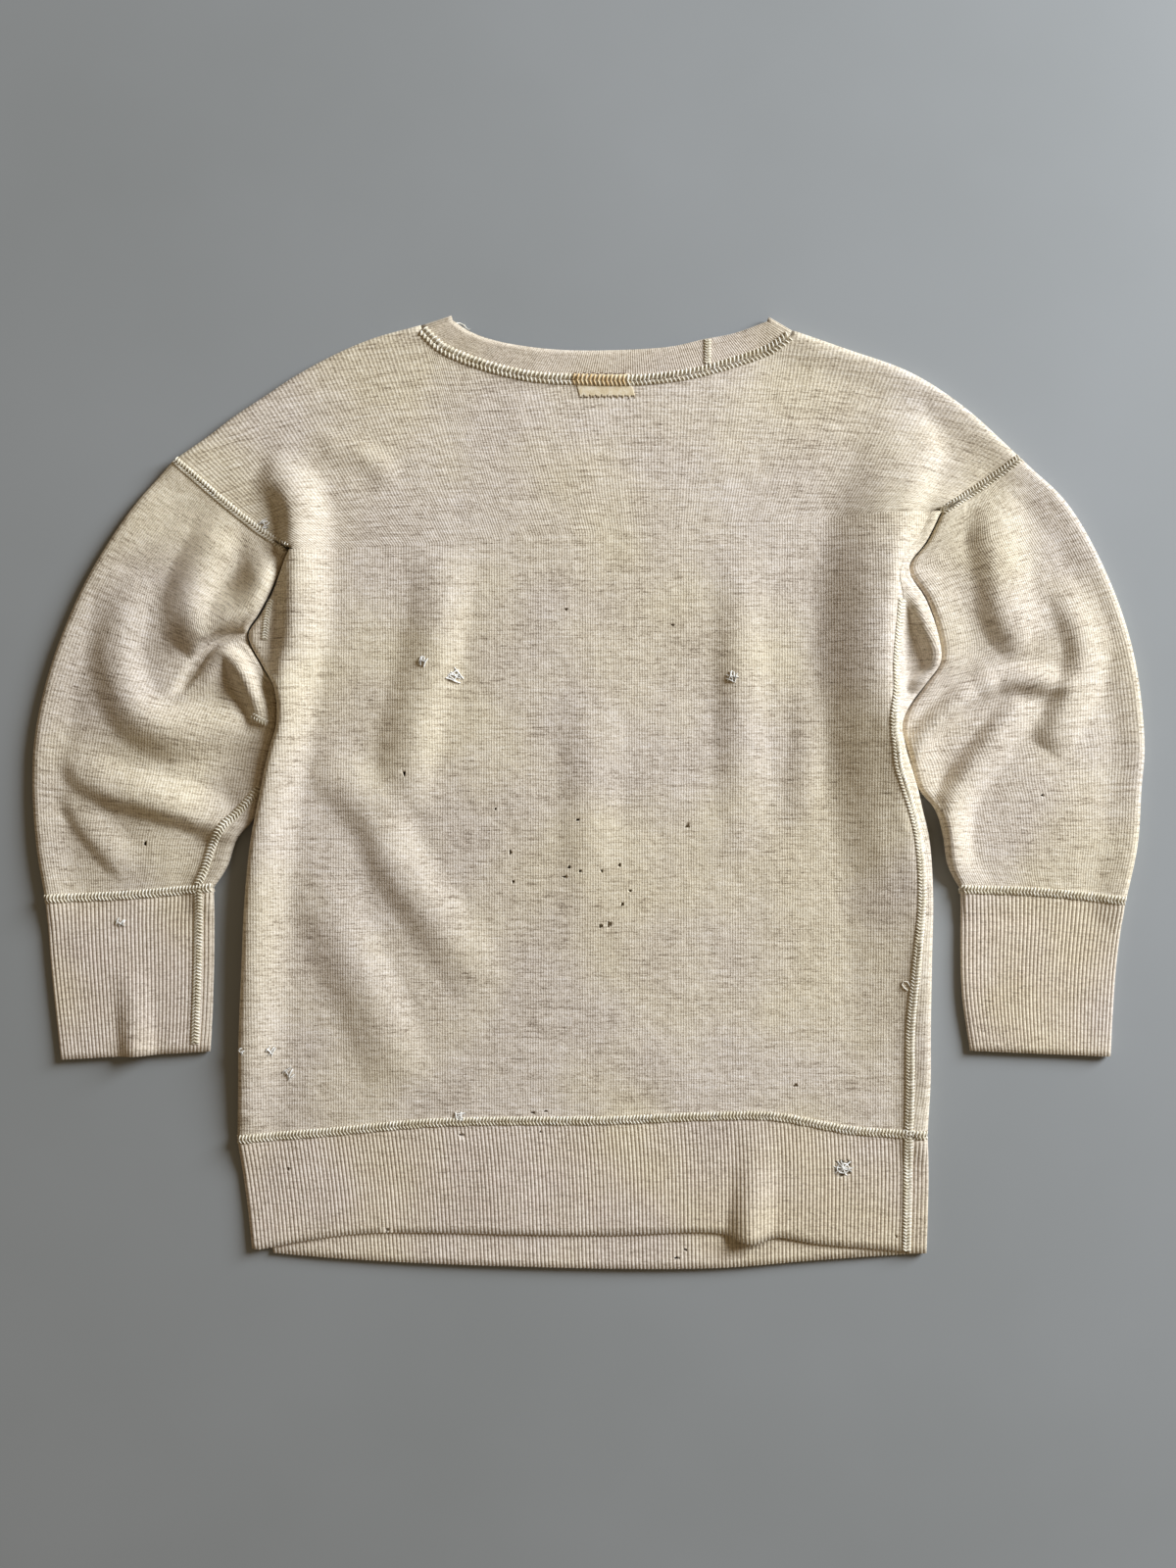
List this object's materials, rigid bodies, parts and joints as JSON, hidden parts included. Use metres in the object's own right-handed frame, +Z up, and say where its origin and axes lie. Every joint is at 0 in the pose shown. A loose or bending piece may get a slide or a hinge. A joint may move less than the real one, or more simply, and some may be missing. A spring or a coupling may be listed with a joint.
{
  "type": "darned wool sweater",
  "caption": "Wool pullover laid out flat inside out, back uppermost, with rib hem, cuffs and neckband, soft folds, moth holes and darns.",
  "frame": {"origin": "on the surface, under the middle of the laid-out garment's box", "axes": "+X to the right across the garment as it lies, +Y towards the neck, +Z up off the surface"},
  "size_m": [0.8368, 0.7176, 0.0218],
  "materials": {
    "body_knit": "oatmeal heather wool jersey, worn soft, fine wales",
    "sleeve_knit": "oatmeal heather wool jersey, worn soft, fine wales",
    "rib_knit": "oatmeal heather wool, one by one rib",
    "neck_rib": "oatmeal heather wool, narrow one by one rib",
    "label_tape": "faded cream and rust cotton tape, bare",
    "seam_thread": "cream cotton thread, overlocked",
    "darning_yarn": "off-white and grey darning yarn"
  },
  "bodies": {
    "root": {"back_panel": "body_knit", "front_panel": "body_knit", "sleeve_left": "sleeve_knit", "sleeve_right": "sleeve_knit", "cuff_left": "rib_knit", "cuff_right": "rib_knit", "hem_back": "rib_knit", "hem_front": "rib_knit", "neckband": "neck_rib", "label_stub": "label_tape"}
  },
  "joints": []
}
